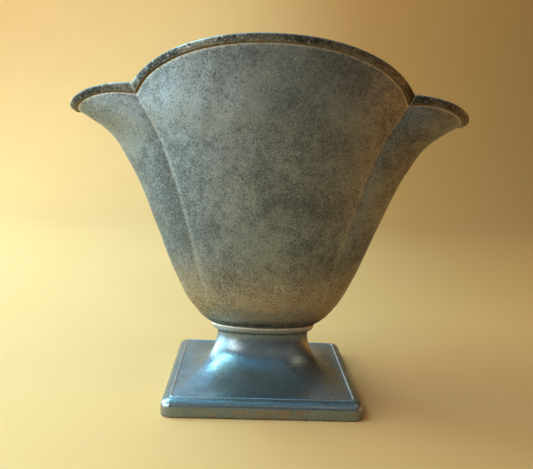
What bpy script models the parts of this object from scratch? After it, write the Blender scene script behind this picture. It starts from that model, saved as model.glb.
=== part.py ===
"""Footed fan vase in cast pewter.

A four-lobed bowl, cast as two half shells, carries a mitred rim moulding and stands on an
oval collar and a hollow foot, whose concave pedestal sweeps out into a rectangular plinth.

Lengths are millimetres here and metres in the meshes. X runs along the width, the front
faces -Y, +Z is up, and the origin is the middle of the footprint on the table.
"""

import math

import bmesh
import bpy
import numpy as np

MM = 0.001
GAP = 0.3  # clearance between touching castings
NEAR = 1e-3  # step along the bowl that its slopes are taken over
HEIGHT_STEP = 0.05  # the same, in height, for its normals
CREASE_SIDE = 1e-6  # puts a place just on the side lobe's side of a crease

# Bowl, measured on its outer face. Each station gives, at one height: the half width at
# the side tips, the half depth at the middle of the front, and the place of the crease
# where a main lobe meets a side lobe.
BOWL_STATIONS = (
    # height, tip x, front y, crease x, crease y
    (33.5, 26.9, 9.5, 19.5, 6.6),
    (36.5, 31.3, 12.5, 22.6, 8.6),
    (42.0, 36.4, 15.5, 26.7, 10.6),
    (58.0, 45.4, 19.5, 31.9, 13.6),
    (86.0, 56.6, 25.5, 38.8, 17.0),
    (115.0, 69.4, 31.0, 47.0, 19.2),
    (130.0, 80.5, 33.8, 53.0, 19.8),
    (140.0, 96.4, 35.8, 58.8, 20.0),
    (151.0, 112.0, 37.5, 64.5, 20.2),
    (172.0, 150.0, 41.0, 73.0, 22.0),
)
BOWL_FLOOR = 35.7
WALL = 2.2
MAIN_ARC = (46.0, 60.0)  # half angle of a main lobe's arc, at the base and at the rim
SIDE_ARC = (44.0, 88.0)  # the same for a side lobe; the two make one oval at the base
ARC_OPENS = (40.0, 150.0)  # heights between which the lobes part from the oval
ARC_POWER = 0.7

# Rim line: the main lobes arch up from the notches, the side lobes droop to the tips.
NOTCH_HEIGHT = 151.1
ARCH_RISE = 20.3
ARCH_POWERS = (2.12, 1.29)
TIP_HEIGHT = 140.0
DROOP_POWER = 1.7

# Rim moulding, seen in section across the rim.
BAND_WIDTH = 3.8
BAND_PROUD = 1.0
BAND_INSIDE = 0.35
BAND_EDGE = 0.7
BAND_COVE = 0.25
MITRE_STRETCH = 1.35  # length of the mitre at a notch, in band widths
MITRE_GAP = 0.22  # how far each band is drawn back from its mitre
MITRE_REACH = 0.25  # share of a lobe over which the band widens towards its mitre

# Collar between the bowl and the foot: half length, half depth and height of each ring.
COLLAR_RINGS = (
    (23.8, 7.0, 29.3),
    (24.9, 7.9, 29.8),
    (26.1, 8.8, 30.9),
    (26.7, 9.4, 32.2),
    (26.9, 9.5, 33.2),
)

# Foot.
PLINTH_LENGTH = 95.2
PLINTH_DEPTH = 82.0
PLINTH_CORNER = 4.8
LEAST_CORNER = 0.8
PLINTH_SOFT_EDGE = 0.6
PLINTH_ROUND = 3.8
BORDER_HEIGHT = 8.4
PANEL_INSET = 4.4
PANEL_HEIGHT = 8.9
PANEL_CORNER = 1.8
PANEL_STEP_RUN = 0.3
PLINTH_WALL = 3.0
HOLLOW_FILLET = 0.6  # chamfer where the plinth's wall meets the ceiling of its hollow
NECK_HALF_LENGTH = 23.6
NECK_HALF_DEPTH = 6.9
NECK_TOP = 29.0
FOOT_WALL = 2.4

SIDE_STEPS = 8  # columns across half a side lobe
MAIN_STEPS = 20  # columns across a main lobe
LOW_ROWS = (33.5, 34.7, 36.5, 39.5, 44.0)  # heights of the rows round the bowl's base
HIGH_ROWS = 8
HIGH_ROWS_POWER = 1.5  # draws the upper rows together towards the flared rim
CORNER_STEPS = 4
EDGE_STEPS = 7
OVAL_STEPS = 44
FLARE_STEPS = 8


def smooth_curve(heights, values, z):
    """Cubic through the stations, each with the slope of the parabola over its neighbours."""
    run = np.diff(heights)
    rate = np.diff(values) / run
    slope = np.empty_like(values)
    slope[1:-1] = (rate[:-1] * run[1:] + rate[1:] * run[:-1]) / (run[:-1] + run[1:])
    slope[0] = 2 * rate[0] - slope[1]
    slope[-1] = 2 * rate[-1] - slope[-2]
    i = np.clip(np.searchsorted(heights, z) - 1, 0, len(heights) - 2)
    t = (z - heights[i]) / run[i]
    return (
        (1 + 2 * t) * (1 - t) ** 2 * values[i]
        + t * (1 - t) ** 2 * run[i] * slope[i]
        + t * t * (3 - 2 * t) * values[i + 1]
        + t * t * (t - 1) * run[i] * slope[i + 1]
    )


def arc_angle(ends, z):
    """Half angle of a lobe's arc at a height, in radians."""
    low, high = ARC_OPENS
    opening = np.clip((z - low) / (high - low), 0, 1) ** ARC_POWER
    return np.radians(ends[0] + (ends[1] - ends[0]) * opening)


def arc(u, half_angle):
    """Along and out of a stretched arc, both 0 to 1, at the share u of its half angle."""
    turn = u * half_angle
    out = (np.cos(turn) - np.cos(half_angle)) / (1 - np.cos(half_angle))
    return np.sin(turn) / np.sin(half_angle), out


def bowl_point(u, z):
    """Outer face of the front half of the bowl.

    u runs from -2 at the left tip, through -1 and 1 at the creases, to 2 at the right tip.
    """
    heights, tips, fronts, crease_xs, crease_ys = np.array(BOWL_STATIONS).T
    tip, front, crease_x, crease_y = (
        smooth_curve(heights, values, z) for values in (tips, fronts, crease_xs, crease_ys)
    )
    along, out = arc(np.clip(u, -1, 1), arc_angle(MAIN_ARC, z))
    main = (crease_x * along, -(crease_y + (front - crease_y) * out))
    back, bulge = arc(np.clip(2 - np.abs(u), 0, 1), arc_angle(SIDE_ARC, z))
    side = (np.sign(u) * (crease_x + (tip - crease_x) * bulge), -crease_y * back)
    is_main = np.abs(u) <= 1
    return np.stack(
        [np.where(is_main, main[0], side[0]), np.where(is_main, main[1], side[1]), z], axis=-1
    )


def face_normal(u, z, side_step):
    """Outward normal of the bowl's face, from short steps along u and up z."""
    here = bowl_point(u, z)
    along = (bowl_point(u + side_step, z) - here) * np.sign(side_step)[..., None]
    up = bowl_point(u, z + HEIGHT_STEP) - here
    normal = np.cross(along, up)
    return normal / np.linalg.norm(normal, axis=-1, keepdims=True)


def offset_direction(u, z):
    """The way a parallel face lies: the normal, mitred at the creases and level at the tips."""
    step = np.where(u < 0, -NEAR, NEAR)
    at_tip = np.abs(u) > 2 - NEAR / 2
    toward_front = face_normal(u, z, -step)
    toward_tip = face_normal(u, z, np.where(at_tip, -step, step))
    share = 1 + np.sum(toward_front * toward_tip, axis=-1, keepdims=True)
    direction = (toward_front + toward_tip) / share
    direction[..., 1] = np.where(at_tip, 0, direction[..., 1])
    return direction


def rim_height(u):
    """Height of the rim's top edge."""
    middle = np.clip(1 - np.abs(u) ** ARCH_POWERS[0], 0, 1) ** ARCH_POWERS[1]
    arch = NOTCH_HEIGHT + ARCH_RISE * middle
    _, bulge = arc(np.clip(2 - np.abs(u), 0, 1), math.radians(SIDE_ARC[1]))
    droop = NOTCH_HEIGHT - (NOTCH_HEIGHT - TIP_HEIGHT) * bulge**DROOP_POWER
    return np.where(np.abs(u) <= 1, arch, droop)


def drop_below_rim(u, distance):
    """Fall in height that goes a given distance down the wall, square to the rim.

    Towards a notch it passes over to the longer fall of the mitre, which both lobes share.
    """
    step = np.where(u > 0, -NEAR, NEAR)
    edge = bowl_point(u, rim_height(u))
    tangent = bowl_point(u + step, rim_height(u + step)) - edge
    tangent /= np.linalg.norm(tangent, axis=-1, keepdims=True)
    up = (bowl_point(u, rim_height(u) + NEAR) - edge) / NEAR
    square = distance / np.linalg.norm(np.cross(up, tangent), axis=-1)
    near_notch = np.clip(1 - np.abs(np.abs(u) - 1) / MITRE_REACH, 0, 1) ** 2
    return square + (distance * MITRE_STRETCH - square) * near_notch


def mesh_object(name, verts, faces, colour, roughness, smooth_angle=35.0):
    """One closed body with its own material, faces outward and shaded smooth."""
    mesh = bpy.data.meshes.new(name)
    mesh.from_pydata([tuple(point) for point in np.asarray(verts) * MM], [], faces)
    bm = bmesh.new()
    bm.from_mesh(mesh)
    bmesh.ops.remove_doubles(bm, verts=bm.verts, dist=1e-7)
    bmesh.ops.dissolve_degenerate(bm, edges=bm.edges, dist=1e-7)
    bmesh.ops.recalc_face_normals(bm, faces=bm.faces)
    bm.to_mesh(mesh)
    bm.free()
    mesh.shade_smooth()
    mesh.set_sharp_from_angle(angle=math.radians(smooth_angle))
    material = bpy.data.materials.new(name)
    material.use_nodes = True
    shader = material.node_tree.nodes["Principled BSDF"]
    shader.inputs["Base Color"].default_value = (*colour, 1.0)
    shader.inputs["Metallic"].default_value = 1.0
    shader.inputs["Roughness"].default_value = roughness
    mesh.materials.append(material)
    part = bpy.data.objects.new(name, mesh)
    bpy.context.collection.objects.link(part)
    return part


def skin(name, rings, colour, roughness):
    """A closed body over rings of points, each ring joined to the next, both ends capped."""
    rings = np.asarray(rings)
    count = rings.shape[1]
    faces = []
    for r in range(len(rings) - 1):
        for i in range(count):
            j = (i + 1) % count
            faces.append((r * count + i, r * count + j, (r + 1) * count + j, (r + 1) * count + i))
    faces.append(tuple(range(count)))
    faces.append(tuple((len(rings) - 1) * count + i for i in range(count)))
    return mesh_object(name, rings.reshape(-1, 3), faces, colour, roughness)


def shell_columns():
    """Places around the front half: left tip, crease, front, crease, right tip."""
    side = np.linspace(1, 2, SIDE_STEPS + 1)[1:]
    main = np.linspace(-1, 1, MAIN_STEPS + 1)
    return np.concatenate([-side[::-1], main, side])


def mirror_to_rear(points):
    return points * np.array([1.0, -1.0, 1.0])


def bowl_shell(name, rear, colour):
    """Half of the cast bowl: wall and half of the floor, cut on the plane through the tips."""
    u = shell_columns()
    top = rim_height(u) - drop_below_rim(u, BAND_WIDTH + GAP)
    low_rows = np.array(LOW_ROWS)
    high_rows = 1 - (1 - np.linspace(0, 1, HIGH_ROWS + 1)[1:]) ** HIGH_ROWS_POWER
    columns = []
    for ui, top_i in zip(u, top):
        z = np.concatenate([low_rows, low_rows[-1] + (top_i - low_rows[-1]) * high_rows])
        place = np.full_like(z, ui)
        outer = bowl_point(place, z)
        inner = outer - WALL * offset_direction(place, z)
        inner[0, 2] = BOWL_FLOOR
        for face in (outer, inner):
            face[:, 1] = np.minimum(face[:, 1], -GAP / 2)
        seam_low = outer[0] * [1, 0, 1] - [0, GAP / 2, 0]
        seam_high = inner[0] * [1, 0, 1] - [0, GAP / 2, 0]
        columns.append(np.vstack([seam_low, outer, inner[::-1], seam_high]))
    columns = np.array(columns)
    return skin(name, mirror_to_rear(columns) if rear else columns, colour, 0.42)


def band_section():
    """Corners of the moulding: depth out of the wall's face, and fall below the rim."""
    inside = -(WALL + BAND_INSIDE)
    return (
        (BAND_PROUD - BAND_COVE, 1.0),
        (BAND_PROUD, 1 - BAND_EDGE / BAND_WIDTH),
        (BAND_PROUD, BAND_EDGE / BAND_WIDTH),
        (BAND_PROUD - BAND_EDGE, 0.0),
        (inside + BAND_EDGE, 0.0),
        (inside, BAND_EDGE / BAND_WIDTH),
        (inside, 1.0),
    )


def band_rings(u):
    """Sections of the moulding at places along the front half of the rim."""
    top = rim_height(u)
    drop = drop_below_rim(u, BAND_WIDTH)
    corners = []
    for depth, fall in band_section():
        z = top - drop * fall
        corners.append(bowl_point(u, z) + depth * offset_direction(u, z))
    return np.stack(corners, axis=1)


def shorten_ends(rings):
    """Draw both end sections in along the band, so that mitred neighbours don't touch."""
    for end, neighbour in ((0, 1), (-1, -2)):
        pull = rings[neighbour] - rings[end]
        rings[end] += pull * (MITRE_GAP / np.linalg.norm(pull, axis=-1, keepdims=True))
    return rings


def main_band(name, rear, colour):
    """Moulding along a main lobe, from notch to notch."""
    rings = shorten_ends(band_rings(np.linspace(-1, 1, MAIN_STEPS + 1)))
    return skin(name, mirror_to_rear(rings) if rear else rings, colour, 0.4)


def side_band(name, side, colour):
    """Moulding around a side lobe, from the front notch past the tip to the rear notch."""
    front = band_rings(side * np.linspace(1 + CREASE_SIDE, 2, SIDE_STEPS + 1))
    front[-1, :, 1] = 0
    rear = mirror_to_rear(front[:-1][::-1])
    return skin(name, shorten_ends(np.concatenate([front, rear])), colour, 0.4)


def oval_ring(half_length, half_depth, z, turn):
    return np.stack(
        [half_length * np.cos(turn), half_depth * np.sin(turn), np.full_like(turn, z)], axis=-1
    )


def stem_collar(colour):
    """Oval ring under the bowl, rounded in towards the neck."""
    turn = np.linspace(0, 2 * math.pi, OVAL_STEPS, endpoint=False)
    rings = [oval_ring(length, depth, z, turn) for length, depth, z in COLLAR_RINGS]
    return skin("stem_collar", rings, colour, 0.42)


def rounded_rectangle(length, depth, corner, z):
    """Outline of the plinth: four straight sides and four quarter-round corners."""
    quarter = []
    for k, side in enumerate(((1, 1), (-1, 1), (-1, -1), (1, -1))):
        centre = np.array(side) * [length / 2 - corner, depth / 2 - corner]
        turn = np.linspace(0, math.pi / 2, CORNER_STEPS + 1) + k * math.pi / 2
        quarter.append(centre + corner * np.stack([np.cos(turn), np.sin(turn)], axis=-1))
    outline = []
    for corner_points, following in zip(quarter, quarter[1:] + quarter[:1]):
        share = np.linspace(0, 1, EDGE_STEPS + 1)[1:-1, None]
        run = corner_points[-1] * (1 - share) + following[0] * share
        outline += [corner_points, run]
    flat = np.concatenate(outline)
    return np.column_stack([flat, np.full(len(flat), z)])


def plinth_ring(inset, z):
    """Outline of the plinth, drawn in by an inset."""
    corner = max(PLINTH_CORNER - inset, LEAST_CORNER)
    return rounded_rectangle(PLINTH_LENGTH - 2 * inset, PLINTH_DEPTH - 2 * inset, corner, z)


def panel_ring(inset, z):
    """Outline of the raised panel, drawn in by an inset."""
    return rounded_rectangle(
        PLINTH_LENGTH - 2 * (PANEL_INSET + inset),
        PLINTH_DEPTH - 2 * (PANEL_INSET + inset),
        PANEL_CORNER,
        z,
    )


def flare_rings(edge, half_length, half_depth, top):
    """Rings of the pedestal, from the panel's outline up a concave quarter round to the neck."""
    turn = np.arctan2(edge[:, 1] / PLINTH_DEPTH, edge[:, 0] / PLINTH_LENGTH)
    neck = oval_ring(half_length, half_depth, 0.0, turn)
    low = edge[0, 2]
    rings = []
    for angle in np.linspace(math.pi / 2, 0, FLARE_STEPS + 1):
        share = 1 - math.cos(angle)
        ring = neck + (edge - neck) * share
        ring[:, 2] = top - (top - low) * math.sin(angle)
        rings.append(ring)
    return rings


def foot(colour):
    """Plinth and pedestal in one casting, hollow from below and closed under the collar."""
    outside = [plinth_ring(PLINTH_SOFT_EDGE, 0.0), plinth_ring(0.0, PLINTH_SOFT_EDGE)]
    for angle in np.radians((0, 30, 60, 90)):
        inset = PLINTH_ROUND * (1 - math.cos(angle))
        outside.append(plinth_ring(inset, BORDER_HEIGHT - PLINTH_ROUND * (1 - math.sin(angle))))
    outside.append(panel_ring(0.0, BORDER_HEIGHT))
    panel_edge = panel_ring(PANEL_STEP_RUN, PANEL_HEIGHT)
    outside += flare_rings(panel_edge, NECK_HALF_LENGTH, NECK_HALF_DEPTH, NECK_TOP)
    ceiling = PANEL_HEIGHT - FOOT_WALL
    inside = [plinth_ring(PLINTH_WALL, 0.0), plinth_ring(PLINTH_WALL, ceiling - HOLLOW_FILLET)]
    inside += flare_rings(
        panel_ring(0.0, ceiling),
        NECK_HALF_LENGTH - FOOT_WALL,
        NECK_HALF_DEPTH - FOOT_WALL,
        NECK_TOP - FOOT_WALL,
    )
    return skin("foot", outside[::-1] + inside, colour, 0.3)


def main():
    for old in list(bpy.data.objects):
        bpy.data.objects.remove(old, do_unlink=True)
    bowl_grey = (0.33, 0.33, 0.30)
    rim_grey = (0.22, 0.22, 0.19)
    foot_grey = (0.20, 0.22, 0.24)
    bowl_shell("bowl_front_shell", False, bowl_grey)
    bowl_shell("bowl_rear_shell", True, bowl_grey)
    main_band("rim_moulding_front", False, rim_grey)
    main_band("rim_moulding_rear", True, rim_grey)
    side_band("rim_moulding_left", -1, rim_grey)
    side_band("rim_moulding_right", 1, rim_grey)
    stem_collar(bowl_grey)
    foot(foot_grey)


main()
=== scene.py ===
"""Looks of a footed fan vase: its pewter castings at full resolution, and their aged finishes.

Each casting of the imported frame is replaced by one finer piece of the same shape. Shapes are
worked out in millimetres as whole arrays and become metres when a mesh is made. X runs along
the width, the front faces -Y, +Z is up.
"""

import logging
import math
from collections.abc import Callable
from dataclasses import dataclass, field, replace
from enum import Enum

import bmesh
import bpy
import numpy as np
from mathutils import Matrix, Vector


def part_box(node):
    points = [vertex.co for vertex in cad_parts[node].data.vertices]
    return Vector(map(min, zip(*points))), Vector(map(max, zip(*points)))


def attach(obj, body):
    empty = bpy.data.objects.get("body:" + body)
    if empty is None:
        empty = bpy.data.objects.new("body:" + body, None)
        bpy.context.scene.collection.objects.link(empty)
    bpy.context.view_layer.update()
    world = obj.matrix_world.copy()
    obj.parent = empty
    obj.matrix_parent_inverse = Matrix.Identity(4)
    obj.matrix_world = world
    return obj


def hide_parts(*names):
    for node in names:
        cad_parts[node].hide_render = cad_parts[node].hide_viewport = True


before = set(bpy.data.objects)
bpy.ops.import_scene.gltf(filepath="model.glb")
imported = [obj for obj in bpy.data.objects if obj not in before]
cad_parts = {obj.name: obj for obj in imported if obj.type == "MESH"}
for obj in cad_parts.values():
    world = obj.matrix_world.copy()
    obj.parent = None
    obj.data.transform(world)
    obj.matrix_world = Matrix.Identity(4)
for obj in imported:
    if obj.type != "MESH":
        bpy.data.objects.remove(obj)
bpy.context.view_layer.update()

log = logging.getLogger("fan_vase")

MM = 0.001
BODY = "root"
MERGE_WITHIN = 2e-7
SHARP_ANGLE = math.radians(40.0)
Array = np.ndarray
Pair = tuple[float, float]
Point = tuple[float, float, float]
Colour = tuple[float, float, float]
Grain = tuple[float, float, float]
Socket = bpy.types.NodeSocket
Inputs = dict[str | int, Socket | float | Colour]


class Slot(Enum):
    """Material slots of the record, one kept with each finish."""

    BOWL = "bowl_pewter"
    RIM = "rim_pewter"
    FOOT = "foot_pewter"


class Half(Enum):
    """Which half of the bowl a casting makes; the value multiplies Y."""

    FRONT = 1.0
    REAR = -1.0


def add_object(name: str, data: bpy.types.ID) -> bpy.types.Object:
    """Add an object to the scene.

    Args:
        name: Its name.
        data: The mesh, light or camera that it holds.

    Returns:
        The new object, at the origin.
    """
    thing = bpy.data.objects.new(name, data)
    bpy.context.scene.collection.objects.link(thing)
    return thing


def smoothstep(value: Array) -> Array:
    """Ease from 0 to 1 with level ends: 3v^2 - 2v^3 of the clipped value."""
    v = np.clip(value, 0.0, 1.0)
    return v * v * (3 - 2 * v)


def ease_between(value: Array, start: float, end: float) -> Array:
    """Ease from 0 at the start to 1 at the end, which may be the lower of the two."""
    return smoothstep((value - start) / (end - start))


@dataclass(frozen=True)
class Bell:
    """Bell curve with its height, centre and spread, for a line of wear or grime."""

    height: float
    centre: float
    spread: float

    def at(self, value: Array) -> Array:
        """The height times e to the power -((value - centre) / spread)^2."""
        return self.height * np.exp(-(((value - self.centre) / self.spread) ** 2))


def through_stations(stations: Array, values: Array, place: Array) -> Array:
    """Cubic curve through stations.

    Between two stations it is the Hermite cubic whose slope at each station is that of the
    parabola over the station and its neighbours.

    Args:
        stations: Places of the stations, rising.
        values: Value at each station.
        place: Where to read the curve.

    Returns:
        The curve's value at each place.
    """
    run = np.diff(stations)
    rate = np.diff(values) / run
    slope = np.empty_like(values)
    slope[1:-1] = (rate[:-1] * run[1:] + rate[1:] * run[:-1]) / (run[:-1] + run[1:])
    slope[0] = 2 * rate[0] - slope[1]
    slope[-1] = 2 * rate[-1] - slope[-2]
    i = np.clip(np.searchsorted(stations, place) - 1, 0, len(stations) - 2)
    t = (place - stations[i]) / run[i]
    return (
        (1 + 2 * t) * (1 - t) ** 2 * values[i]
        + t * (1 - t) ** 2 * run[i] * slope[i]
        + t * t * (3 - 2 * t) * values[i + 1]
        + t * t * (t - 1) * run[i] * slope[i + 1]
    )


def unit(vectors: Array) -> Array:
    """Vectors scaled to length 1."""
    return vectors / np.linalg.norm(vectors, axis=-1, keepdims=True)


@dataclass(frozen=True)
class Waver:
    """Slight unevenness of a hand-finished casting: a sum of plane waves of seeded directions.

    The height at a point p is amplitude times the mean of sin(k.p + phase) over the waves,
    scaled so that it seldom passes the amplitude.
    """

    amplitude: float = 0.09
    shortest: float = 11.0
    longest: float = 38.0
    waves: int = 14
    seed: int = 7

    def at(self, points: Array) -> Array:
        """Height of the unevenness.

        Args:
            points: Where it is read, in millimetres.

        Returns:
            The height at each point, in millimetres.
        """
        draw = np.random.default_rng(self.seed)
        ways = unit(draw.normal(size=(self.waves, 3)))
        lengths = draw.uniform(self.shortest, self.longest, self.waves)
        phases = draw.uniform(0, 2 * math.pi, self.waves)
        turns = points @ (ways * (2 * math.pi / lengths)[:, None]).T + phases
        return self.amplitude * np.sin(turns).sum(axis=-1) / math.sqrt(self.waves)


@dataclass(frozen=True)
class BowlForm:
    """Outer face of the four-lobed bowl, and the rim line that cuts it off.

    u runs round the front half: -2 at the left tip, -1 and 1 at the creases, 2 at the right
    tip. z is the height in millimetres. The rear half is the front one mirrored in Y.
    """

    # height, half width at the tips, half depth at the front, crease x, crease y
    stations: tuple[tuple[float, ...], ...] = (
        (33.5, 26.9, 9.5, 19.5, 6.6),
        (36.5, 31.3, 12.5, 22.6, 8.6),
        (42.0, 36.4, 15.5, 26.7, 10.6),
        (58.0, 45.4, 19.5, 31.9, 13.6),
        (86.0, 56.6, 25.5, 38.8, 17.0),
        (115.0, 69.4, 31.0, 47.0, 19.2),
        (130.0, 80.5, 33.8, 53.0, 19.8),
        (140.0, 96.4, 35.8, 58.8, 20.0),
        (151.0, 112.0, 37.5, 64.5, 20.2),
        (172.0, 150.0, 41.0, 73.0, 22.0),
    )
    main_arc: Pair = (46.0, 60.0)
    side_arc: Pair = (44.0, 88.0)
    arc_opens: Pair = (40.0, 150.0)
    arc_power: float = 0.7
    notch_height: float = 151.1
    arch_rise: float = 20.3
    arch_powers: Pair = (2.12, 1.29)
    tip_height: float = 140.0
    droop_power: float = 1.7
    mitre_stretch: float = 1.35
    mitre_reach: float = 0.25
    ease_high: float = 0.012
    ease_low: float = 0.040
    ease_heights: Pair = (150.0, 50.0)
    ease_taps: int = 9
    near: float = 1e-3
    height_step: float = 0.05

    def arc_angle(self, ends: Pair, z: Array) -> Array:
        """Half angle of a lobe's arc: it opens with the height's share, to the arc power."""
        opening = np.clip((z - self.arc_opens[0]) / np.ptp(self.arc_opens), 0, 1) ** self.arc_power
        return np.radians(ends[0] + (ends[1] - ends[0]) * opening)

    @staticmethod
    def arc(u: Array, half_angle: Array | float) -> tuple[Array, Array]:
        """Stretched arc, with both of its reaches run from 0 to 1.

        Args:
            u: Share of the half angle, -1 to 1.
            half_angle: Half angle of the arc, in radians.

        Returns:
            Along, sin(u a) / sin(a), and out, (cos(u a) - cos(a)) / (1 - cos(a)).
        """
        turn = u * half_angle
        out = (np.cos(turn) - np.cos(half_angle)) / (1 - np.cos(half_angle))
        return np.sin(turn) / np.sin(half_angle), out

    def point(self, u: Array, z: Array) -> Array:
        """Point of the outer face, with each crease sharp.

        A main lobe's section is an arc from crease to crease; a side lobe's is an arc from
        crease to crease round the tip, both stretched to the curves through the stations.

        Args:
            u: Place round the front half.
            z: Height in millimetres, of the same shape as u.

        Returns:
            Points, with x, y and z on the last axis.
        """
        heights, *columns = np.array(self.stations).T
        tip, front, crease_x, crease_y = (
            through_stations(heights, column, z) for column in columns
        )
        along, out = self.arc(np.clip(u, -1, 1), self.arc_angle(self.main_arc, z))
        main = (crease_x * along, -(crease_y + (front - crease_y) * out))
        share = np.clip(2 - np.abs(u), 0, 1)
        back, bulge = self.arc(share, self.arc_angle(self.side_arc, z))
        side = (np.sign(u) * (crease_x + (tip - crease_x) * bulge), -crease_y * back)
        is_main = np.abs(u) <= 1
        x = np.where(is_main, main[0], side[0])
        y = np.where(is_main, main[1], side[1])
        return np.stack([x, y, z], axis=-1)

    def ease_reach(self, z: Array) -> Array:
        """Half width, in u, over which a crease is rounded: narrow at the rim, wide below."""
        fall = ease_between(z, *self.ease_heights)
        return self.ease_high + (self.ease_low - self.ease_high) * fall

    def eased_point(self, u: Array, z: Array) -> Array:
        """Point of the outer face, with each crease rounded into a narrow hollow.

        Near a crease the point is the mean of points spread evenly over the ease reach on
        both sides, which turns the corner into a parabola; further off it is left alone.

        Args:
            u: Place round the front half.
            z: Height in millimetres, of the same shape as u.

        Returns:
            Points, with x, y and z on the last axis.
        """
        reach = self.ease_reach(z)
        nearness = 1 - np.abs(np.abs(u) - 1) / (4 * reach)
        spread = reach * smoothstep(nearness)
        total = np.zeros(np.shape(u) + (3,))
        for tap in np.linspace(-1, 1, self.ease_taps):
            total += self.point(np.clip(u + tap * spread, -2, 2), z)
        return total / self.ease_taps

    def eased_normal(self, u: Array, z: Array) -> Array:
        """Outward unit normal of the eased face, level at the tips.

        Args:
            u: Place round the front half.
            z: Height in millimetres, of the same shape as u.

        Returns:
            Unit vectors.
        """
        normal = self.normal_of(self.eased_point, u, z, np.where(u < 0, self.near, -self.near))
        normal[..., 1] = np.where(np.abs(u) > 2 - self.near / 2, 0, normal[..., 1])
        return unit(normal)

    def normal_of(self, face: Callable[[Array, Array], Array], u: Array, z: Array, step: Array) -> Array:
        """Outward unit normal of a face, from its points one step round and one step up.

        Args:
            face: Gives the face's point at a place and height.
            u: Place round the front half.
            z: Height in millimetres, of the same shape as u.
            step: Step round, with its sign.

        Returns:
            Unit vectors.
        """
        here = face(u, z)
        along = (face(u + step, z) - here) * np.sign(step)[..., None]
        up = face(u, z + self.height_step) - here
        return unit(np.cross(along, up))

    def mitre_direction(self, u: Array, z: Array) -> Array:
        """The way in which a parallel face lies, mitred where two lobes meet.

        It is (n1 + n2) / (1 + n1.n2) of the normals on both sides of the place, so that its
        length grows at a crease as a mitre's does.

        Args:
            u: Place round the front half.
            z: Height in millimetres.

        Returns:
            Vectors to multiply by the distance between the faces.
        """
        step = np.where(u < 0, -self.near, self.near)
        at_tip = np.abs(u) > 2 - self.near / 2
        first = self.normal_of(self.point, u, z, -step)
        second = self.normal_of(self.point, u, z, np.where(at_tip, -step, step))
        share = 1 + np.sum(first * second, axis=-1, keepdims=True)
        direction = (first + second) / share
        direction[..., 1] = np.where(at_tip, 0, direction[..., 1])
        return direction

    def rim_height(self, u: Array) -> Array:
        """Height of the rim: an arch over each main lobe, a droop round each side lobe.

        Args:
            u: Place round the front half.

        Returns:
            Height in millimetres.
        """
        first, second = self.arch_powers
        middle = np.clip(1 - np.abs(u) ** first, 0, 1) ** second
        arch = self.notch_height + self.arch_rise * middle
        _, bulge = self.arc(np.clip(2 - np.abs(u), 0, 1), math.radians(self.side_arc[1]))
        droop = (self.notch_height - self.tip_height) * bulge**self.droop_power
        return np.where(np.abs(u) <= 1, arch, self.notch_height - droop)

    def drop_below_rim(self, u: Array, distance: float) -> Array:
        """Fall in height that goes a distance down the wall, square to the rim.

        The square fall is the distance over the length of the cross product of the wall's
        rise and the rim's tangent. Towards a notch it passes over to the fall of the mitre.

        Args:
            u: Place round the front half.
            distance: Distance down the wall, in millimetres.

        Returns:
            Fall in millimetres at each place.
        """
        step = np.where(u > 0, -self.near, self.near)
        edge = self.point(u, self.rim_height(u))
        tangent = unit(self.point(u + step, self.rim_height(u + step)) - edge)
        up = (self.point(u, self.rim_height(u) + self.near) - edge) / self.near
        square = distance / np.linalg.norm(np.cross(up, tangent), axis=-1)
        near_notch = np.clip(1 - np.abs(np.abs(u) - 1) / self.mitre_reach, 0, 1) ** 2
        return square + (distance * self.mitre_stretch - square) * near_notch


@dataclass
class Skin:
    """Mesh of one closed casting, lofted over rings, with its marks of wear, grime, painted highlight and
    painted shade as attributes.

    The rings are points in millimetres, of shape (rings, points in a ring, 3). A mark is an
    array of shape (rings, points in a ring), from 0 to 1.
    """

    name: str
    rings: Array
    marks: dict[str, Array]

    def faces(self) -> list[tuple[int, ...]]:
        """Quads between each ring and the next, and one cap at each end.

        Returns:
            The corners of each face, as places in the list of all points.
        """
        count, around = self.rings.shape[:2]
        index = np.arange(count * around).reshape(count, around)
        turned = np.roll(index, -1, axis=1)
        quads = np.stack([index[:-1], turned[:-1], turned[1:], index[1:]], axis=-1)
        return quads.reshape(-1, 4).tolist() + [index[0].tolist(), index[-1].tolist()]

    def make(self) -> bpy.types.Object:
        """Build the object: doubles merged, faces outward, smooth but for its sharp edges.

        Returns:
            The new object, at the origin, with its place in its mesh.
        """
        mesh = bpy.data.meshes.new(self.name)
        mesh.from_pydata((self.rings.reshape(-1, 3) * MM).tolist(), [], self.faces())
        for mark, values in self.marks.items():
            layer = mesh.attributes.new(mark, "FLOAT", "POINT")
            layer.data.foreach_set("value", np.clip(values, 0, 1).ravel().astype(np.float32))
        bm = bmesh.new()
        bm.from_mesh(mesh)
        bmesh.ops.remove_doubles(bm, verts=bm.verts, dist=MERGE_WITHIN)
        bmesh.ops.dissolve_degenerate(bm, edges=bm.edges, dist=MERGE_WITHIN)
        bmesh.ops.recalc_face_normals(bm, faces=bm.faces)
        bm.to_mesh(mesh)
        bm.free()
        mesh.shade_smooth()
        mesh.set_sharp_from_angle(angle=SHARP_ANGLE)
        return add_object(self.name, mesh)


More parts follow.
